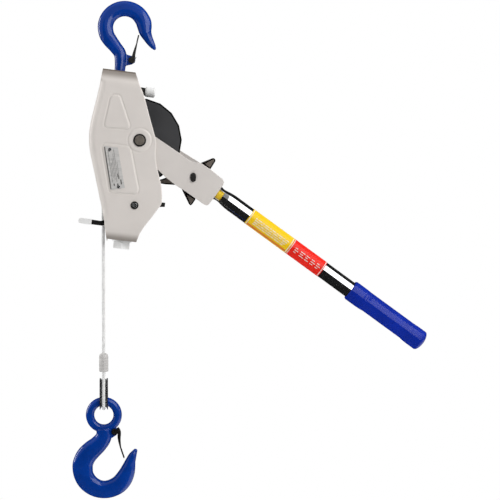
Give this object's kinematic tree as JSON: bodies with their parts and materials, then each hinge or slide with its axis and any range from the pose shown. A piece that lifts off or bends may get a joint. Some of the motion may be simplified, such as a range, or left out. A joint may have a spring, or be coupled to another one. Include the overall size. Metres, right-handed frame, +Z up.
{
  "type": "come along winch",
  "caption": "Hand ratchet cable puller: leaning two-plate frame and rope drum under a latched anchor hook, a pumping handle, and wire rope to a latched load hook.",
  "frame": {"origin": "saddle of the anchor hook, the top of the inside of its bowl, where it bears on what it hangs from", "axes": "+Z up along the hanging rope, +X towards the handle, +Y through the thickness away from the near side"},
  "size_m": [0.4282, 0.0472, 0.5953],
  "materials": {
    "blue_enamel": "glossy royal blue enamel over forged steel",
    "frame_paint": "warm light grey paint, satin",
    "yoke_paint": "warm grey paint, satin",
    "block_metal": "machined, dull",
    "dark_steel": "blackened steel, worn at the edges",
    "wheel_black": "satin charcoal",
    "zinc_steel": "bright zinc plate",
    "bronze": "oiled bearing bronze",
    "wire_rope": "galvanised strands",
    "spring_steel": "oiled spring wire",
    "chrome_tube": "mirror chrome",
    "yellow_nylon": "moulded nylon",
    "yellow_label": "printed vinyl band",
    "red_label": "printed vinyl band",
    "blue_vinyl": "dipped vinyl",
    "plate_metal": "etched plate"
  },
  "bodies": {
    "anchor": {"anchor_hook": "blue_enamel", "anchor_latch_pin": "dark_steel", "anchor_shank_nut": "dark_steel", "thrust_washer": "bronze", "anchor_latch_spring": "spring_steel"},
    "anchor_latch": {"anchor_latch": "dark_steel"},
    "frame": {"near_frame_plate": "frame_paint", "far_frame_plate": "frame_paint", "top_block": "block_metal", "top_dowels": "dark_steel", "bottom_block": "block_metal", "bottom_bolt": "zinc_steel", "bottom_washer": "zinc_steel", "drum_shaft": "zinc_steel", "shaft_clips": "dark_steel", "data_plate": "plate_metal", "data_plate_pins": "zinc_steel", "holding_pawl_pin": "zinc_steel", "trip_lever_pin": "zinc_steel", "trip_pin_clips": "dark_steel", "holding_pawl_spring": "spring_steel", "trip_lever_spring": "spring_steel"},
    "holding_pawl": {"holding_pawl": "dark_steel", "release_knob": "zinc_steel"},
    "trip_lever": {"trip_lever": "dark_steel", "trip_lever_tip": "zinc_steel"},
    "drum": {"drum_spool": "wheel_black", "ratchet_wheel": "wheel_black", "ratchet_rivets": "dark_steel", "drum_bush": "bronze", "rope_winding": "wire_rope", "rope_anchor_screw": "zinc_steel"},
    "handle": {"near_yoke_plate": "yoke_paint", "far_yoke_plate": "yoke_paint", "yoke_socket": "dark_steel", "socket_bush": "yellow_nylon", "handle_tube": "chrome_tube", "yellow_band": "yellow_label", "red_band": "red_label", "grip": "blue_vinyl", "operating_pawl_pin": "dark_steel", "operating_pawl_spring": "spring_steel"},
    "operating_pawl": {"operating_pawl": "dark_steel"},
    "load_end": {"rope_tail": "wire_rope", "ferrule": "zinc_steel", "thimble": "zinc_steel", "rope_eye": "wire_rope"},
    "load_hook": {"load_hook": "blue_enamel", "load_latch_pin": "dark_steel", "load_latch_spring": "spring_steel"},
    "load_latch": {"load_latch": "dark_steel"}
  },
  "joints": [
    {"name": "frame_swivel", "type": "hinge", "parent": "anchor", "child": "frame", "pos_m": [0, 0, -0.0142], "axis": [0.1219, 0, 0.9925], "continuous": true},
    {"name": "anchor_latch_open", "type": "hinge", "parent": "anchor", "child": "anchor_latch", "pos_m": [0.00816, 0, -0.05198], "axis": [0, 1, 0], "range_deg": [-38, 0], "stiffness_Nm_per_rad": 0.05, "springref_deg": 17.19, "deforming": ["anchor_latch_spring"]},
    {"name": "drum_turn", "type": "hinge", "parent": "frame", "child": "drum", "pos_m": [0.01731, 0, -0.1473], "axis": [0, 1, 0], "range_deg": [-720, 140]},
    {"name": "rope_travel", "type": "slide", "parent": "frame", "child": "load_end", "axis": [0, 0, 1], "range_m": [-0.551, 0.1071], "deforming": ["rope_tail"]},
    {"name": "handle_swing", "type": "hinge", "parent": "frame", "child": "handle", "pos_m": [0.01731, 0, -0.1473], "axis": [0, 1, 0], "range_deg": [-80, 20]},
    {"name": "operating_pawl_tilt", "type": "hinge", "parent": "handle", "child": "operating_pawl", "pos_m": [0.08058, 0, -0.1912], "axis": [0, 1, 0], "range_deg": [-14, 3.8], "stiffness_Nm_per_rad": 0.6, "deforming": ["operating_pawl_spring"]},
    {"name": "holding_pawl_lift", "type": "hinge", "parent": "frame", "child": "holding_pawl", "pos_m": [0.00323, 0, -0.08966], "axis": [0, 1, 0], "range_deg": [-14, 9.7], "stiffness_Nm_per_rad": 0.4, "deforming": ["holding_pawl_spring"]},
    {"name": "trip_lever_press", "type": "hinge", "parent": "frame", "child": "trip_lever", "pos_m": [0.01098, 0, -0.2243], "axis": [0, 1, 0], "range_deg": [-10, 0], "stiffness_Nm_per_rad": 0.4, "springref_deg": 17.19, "deforming": ["trip_lever_spring"]},
    {"name": "load_hook_swing", "type": "hinge", "parent": "load_end", "child": "load_hook", "pos_m": [-0.02649, 0, -0.4762], "axis": [0, 1, 0], "range_deg": [-60, 60]},
    {"name": "load_latch_open", "type": "hinge", "parent": "load_hook", "child": "load_latch", "pos_m": [-0.01349, 0, -0.4962], "axis": [0, 1, 0], "range_deg": [0, 36], "stiffness_Nm_per_rad": 0.05, "springref_deg": -17.19, "deforming": ["load_latch_spring"]}
  ],
  "couplings": [
    {"joint": "rope_travel", "follows": "drum_turn", "m_per_rad": 0.0438}
  ]
}
